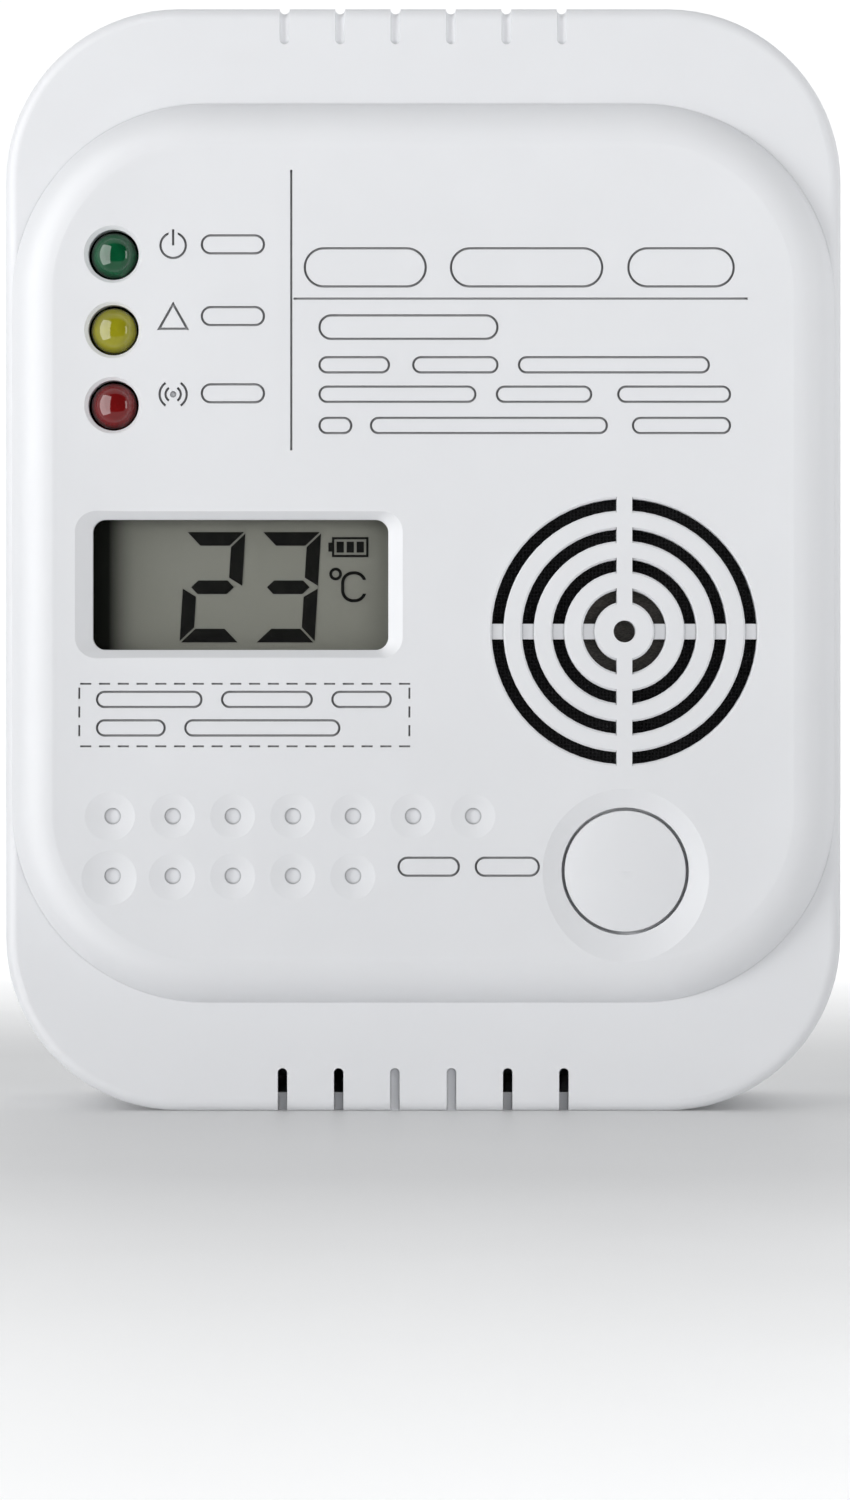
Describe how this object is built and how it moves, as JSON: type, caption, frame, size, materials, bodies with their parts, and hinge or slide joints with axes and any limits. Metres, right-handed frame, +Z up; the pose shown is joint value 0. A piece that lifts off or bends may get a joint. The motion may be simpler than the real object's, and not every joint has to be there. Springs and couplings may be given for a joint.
{
  "type": "carbon monoxide detector",
  "caption": "Upright battery-powered gas alarm with display window, status lamps, round sounder grille, test button and hinged battery door.",
  "frame": {"origin": "middle of the bottom edge on the surface it stands on, half way through the depth", "axes": "+X to the right seen from the front, +Y to the back, +Z up"},
  "size_m": [0.0914, 0.038, 0.1207],
  "materials": {
    "front_cover": "fine satin ABS",
    "rear_housing": "fine satin ABS",
    "battery_door": "fine satin ABS",
    "rating_label": "plain matt label",
    "test_button": "fine satin ABS",
    "tact_switch_body": "moulded",
    "tact_switch_plunger": "moulded",
    "tact_switch_legs": "tinned",
    "display_window": "clear acrylic",
    "lcd_glass": "grey-green polariser",
    "lcd_segments": "dark",
    "lcd_holder": "moulded",
    "lcd_connectors": "striped silicone",
    "led_green": "tinted epoxy",
    "led_yellow": "tinted epoxy",
    "led_red": "tinted epoxy",
    "led_spacers": "nylon",
    "led_leads": "tinned",
    "insect_mesh": "woven nylon",
    "sounder_felt": "felt",
    "sounder_housing": "moulded",
    "piezo_disc": "sheet",
    "piezo_ceramic": "silvered",
    "piezo_leads": "insulated",
    "co_sensor_body": "moulded",
    "co_sensor_cap": "drawn",
    "co_sensor_pins": "gold plated",
    "main_board": "green solder mask",
    "controller_chip": "moulded",
    "controller_leads": "tinned",
    "crystal_can": "drawn",
    "capacitors": "sleeved",
    "inductor": "ferrite",
    "chip_parts": "sintered",
    "battery_upper": "printed sleeve, no lettering",
    "battery_middle": "printed sleeve, no lettering",
    "battery_lower": "printed sleeve, no lettering",
    "battery_springs": "nickel plated",
    "battery_contacts": "nickel plated",
    "battery_lead_red": "insulated",
    "battery_lead_black": "insulated",
    "case_screws": "zinc plated",
    "board_screws": "zinc plated"
  },
  "bodies": {
    "case": {"front_cover": "front_cover", "rear_housing": "rear_housing", "rating_label": "rating_label", "tact_switch_body": "tact_switch_body", "tact_switch_legs": "tact_switch_legs", "display_window": "display_window", "lcd_glass": "lcd_glass", "lcd_segments": "lcd_segments", "lcd_holder": "lcd_holder", "lcd_connectors": "lcd_connectors", "led_green": "led_green", "led_yellow": "led_yellow", "led_red": "led_red", "led_spacers": "led_spacers", "led_leads": "led_leads", "insect_mesh": "insect_mesh", "sounder_felt": "sounder_felt", "sounder_housing": "sounder_housing", "piezo_disc": "piezo_disc", "piezo_ceramic": "piezo_ceramic", "piezo_leads": "piezo_leads", "co_sensor_body": "co_sensor_body", "co_sensor_cap": "co_sensor_cap", "co_sensor_pins": "co_sensor_pins", "main_board": "main_board", "controller_chip": "controller_chip", "controller_leads": "controller_leads", "crystal_can": "crystal_can", "capacitors": "capacitors", "inductor": "inductor", "chip_parts": "chip_parts", "battery_upper": "battery_upper", "battery_middle": "battery_middle", "battery_lower": "battery_lower", "battery_springs": "battery_springs", "battery_contacts": "battery_contacts", "battery_lead_red": "battery_lead_red", "battery_lead_black": "battery_lead_black", "case_screws": "case_screws", "board_screws": "board_screws"},
    "door": {"battery_door": "battery_door"},
    "button": {"test_button": "test_button"},
    "plunger": {"tact_switch_plunger": "tact_switch_plunger"}
  },
  "joints": [
    {"name": "battery_door_hinge", "type": "hinge", "parent": "case", "child": "door", "pos_m": [0, 0.017, 0.0152], "axis": [-1, 0, 0], "range_deg": [0, 90]},
    {"name": "test_button_press", "type": "slide", "parent": "case", "child": "button", "axis": [0, 1, 0], "range_m": [0, 0.0005], "stiffness_N_per_m": 400, "springref_m": -0.002},
    {"name": "switch_plunger_press", "type": "slide", "parent": "case", "child": "plunger", "axis": [0, 1, 0], "range_m": [0, 0.0005]}
  ],
  "couplings": [
    {"joint": "switch_plunger_press", "follows": "test_button_press", "ratio": 1}
  ]
}
